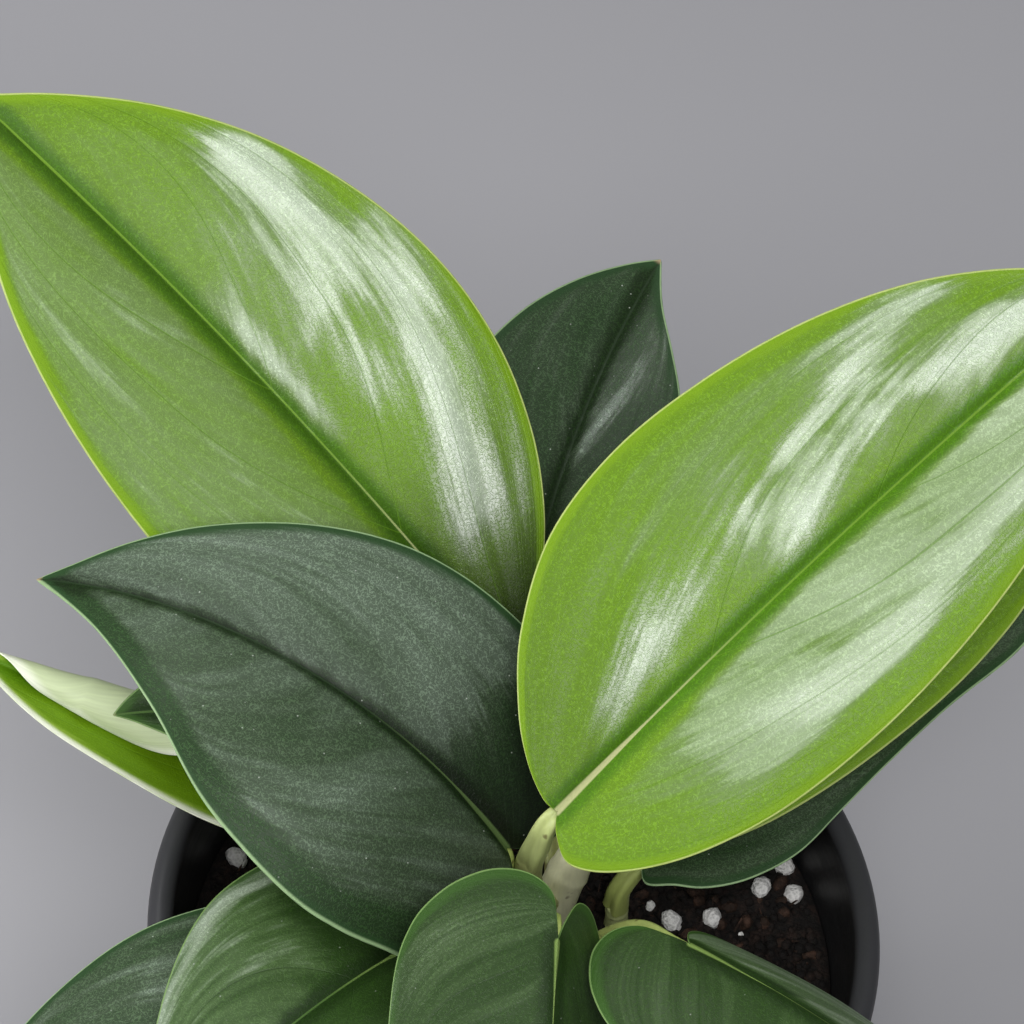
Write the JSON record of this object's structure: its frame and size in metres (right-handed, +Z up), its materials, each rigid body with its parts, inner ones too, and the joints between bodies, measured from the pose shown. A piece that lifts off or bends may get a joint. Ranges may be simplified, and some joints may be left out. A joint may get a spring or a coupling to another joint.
{
  "type": "potted scindapsus",
  "caption": "Small potted scindapsus: a round tapered nursery pot of soil with pale stems and broad pointed heart-shaped leaves that lean and curl out over the rim.",
  "frame": {"origin": "centre of the pot's flat foot, on the surface that the pot stands on", "axes": "+Z up, -Y towards the side that the picture was taken from, +X to the picture's right"},
  "size_m": [0.204, 0.2152, 0.1801],
  "materials": {
    "pot_plastic": "black moulded plastic with a satin lip",
    "potting_soil": "loose dark peat mix with fibres and white perlite grains",
    "stem_tissue": "smooth pale green stem with brown node marks",
    "leaf_bright": "bright green glossy blade with a silver-grey overlay",
    "leaf_green": "mid green glossy blade with a pale margin",
    "leaf_dark": "dark silver-green satin blade",
    "leaf_young": "young yellow-green blade with a cream underside"
  },
  "bodies": {
    "root": {"pot": "pot_plastic", "soil": "potting_soil", "stem_pale": "stem_tissue", "stem_green_right": "stem_tissue", "stem_left": "stem_tissue", "stem_front": "stem_tissue", "leaf_bright_left": "leaf_bright", "leaf_bright_right": "leaf_bright", "leaf_dark_back": "leaf_dark", "leaf_dark_left": "leaf_dark", "leaf_young_left": "leaf_young", "leaf_dark_tip_left": "leaf_dark", "leaf_green_front": "leaf_green", "leaf_silver_front_left": "leaf_dark", "leaf_low_left": "leaf_dark", "leaf_green_front_right": "leaf_green", "leaf_low_right": "leaf_dark", "leaf_green_right": "leaf_green"}
  },
  "joints": []
}
